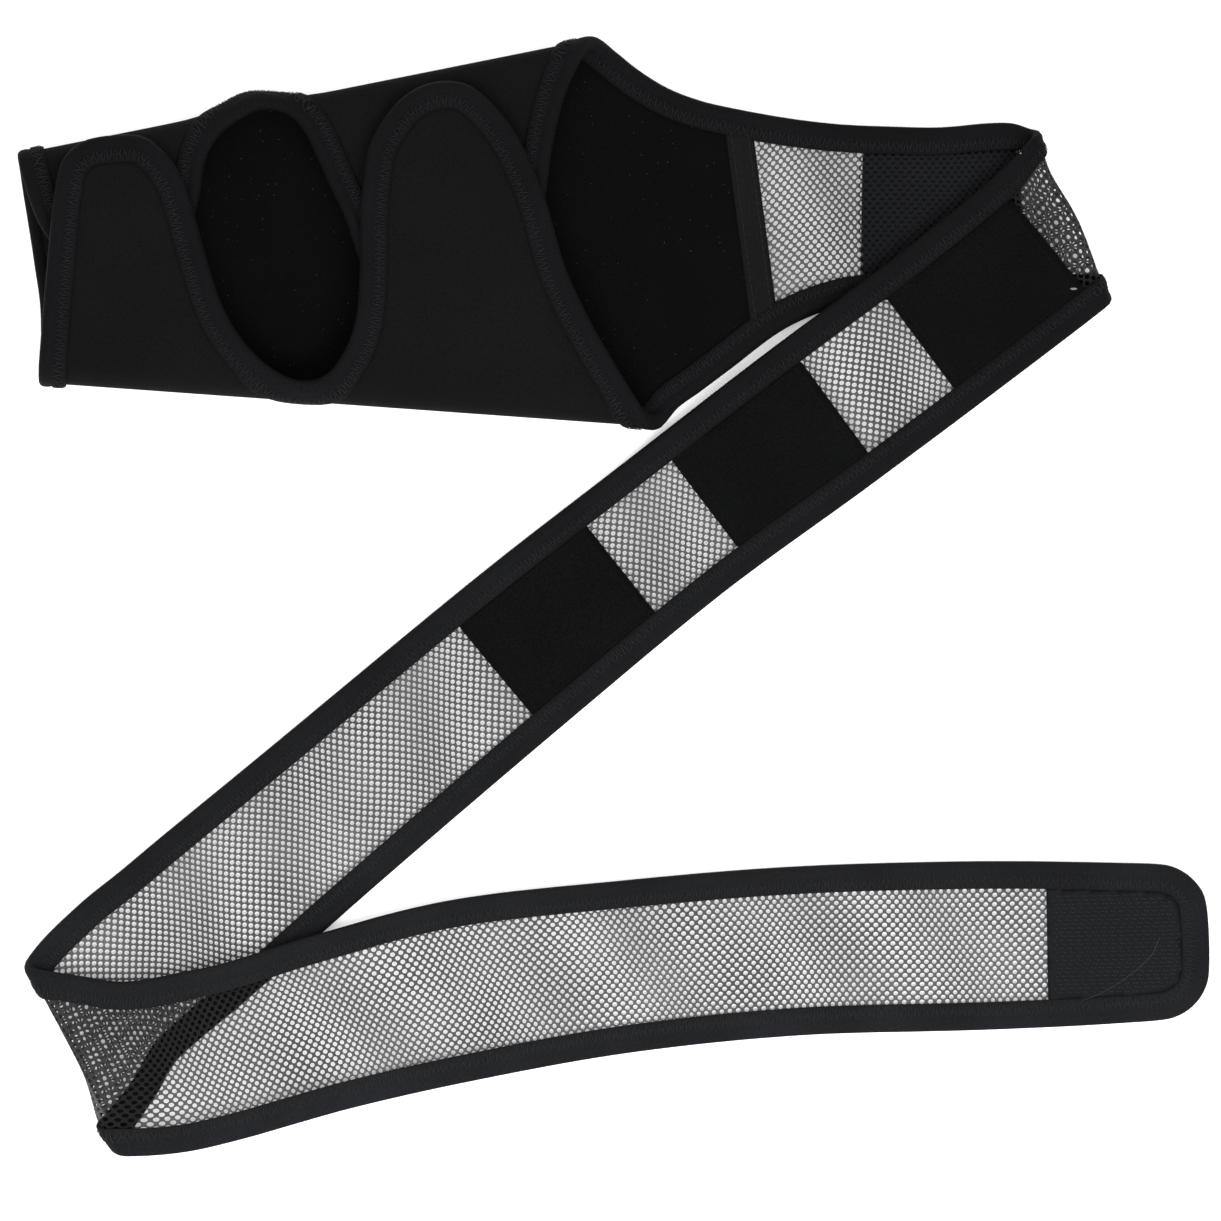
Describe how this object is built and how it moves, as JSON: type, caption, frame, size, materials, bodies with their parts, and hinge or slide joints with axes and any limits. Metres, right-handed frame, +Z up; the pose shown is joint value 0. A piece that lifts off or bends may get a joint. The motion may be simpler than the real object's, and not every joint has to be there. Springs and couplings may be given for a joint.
{
  "type": "dog knee brace",
  "caption": "Dog leg brace: a padded cloth sleeve with an oval knee opening and overlapping round flaps, on a long mesh body strap that lies folded in a Z, with fastening patches.",
  "frame": {"origin": "middle of the bounding box, on the surface that the brace lies on", "axes": "+X from the ankle end of the sleeve towards its body end, +Y from the folded strap towards the sleeve, +Z up from the surface"},
  "size_m": [0.4168, 0.3916, 0.0235],
  "materials": {
    "neoprene": "matt knitted face over foam",
    "binding_tape": "matt woven tape",
    "seam_tape": "matt woven tape",
    "strap_mesh": "open knitted mesh",
    "loop_pile": "soft brushed loops",
    "hook_tape": "fine plastic hooks",
    "fastening_pad": "matt"
  },
  "bodies": {
    "root": {"sleeve_panel": "neoprene", "seam_tape": "seam_tape", "strap_mesh": "strap_mesh", "strap_binding_lower": "binding_tape", "strap_binding_upper": "binding_tape", "front_binding": "binding_tape", "flap_binding": "binding_tape", "hook_patch": "hook_tape", "loop_patch_a": "loop_pile", "loop_patch_b": "loop_pile", "loop_patch_c": "loop_pile", "loop_patch_d": "loop_pile", "small_flap_pad": "fastening_pad", "large_flap_pad": "fastening_pad"}
  },
  "joints": []
}
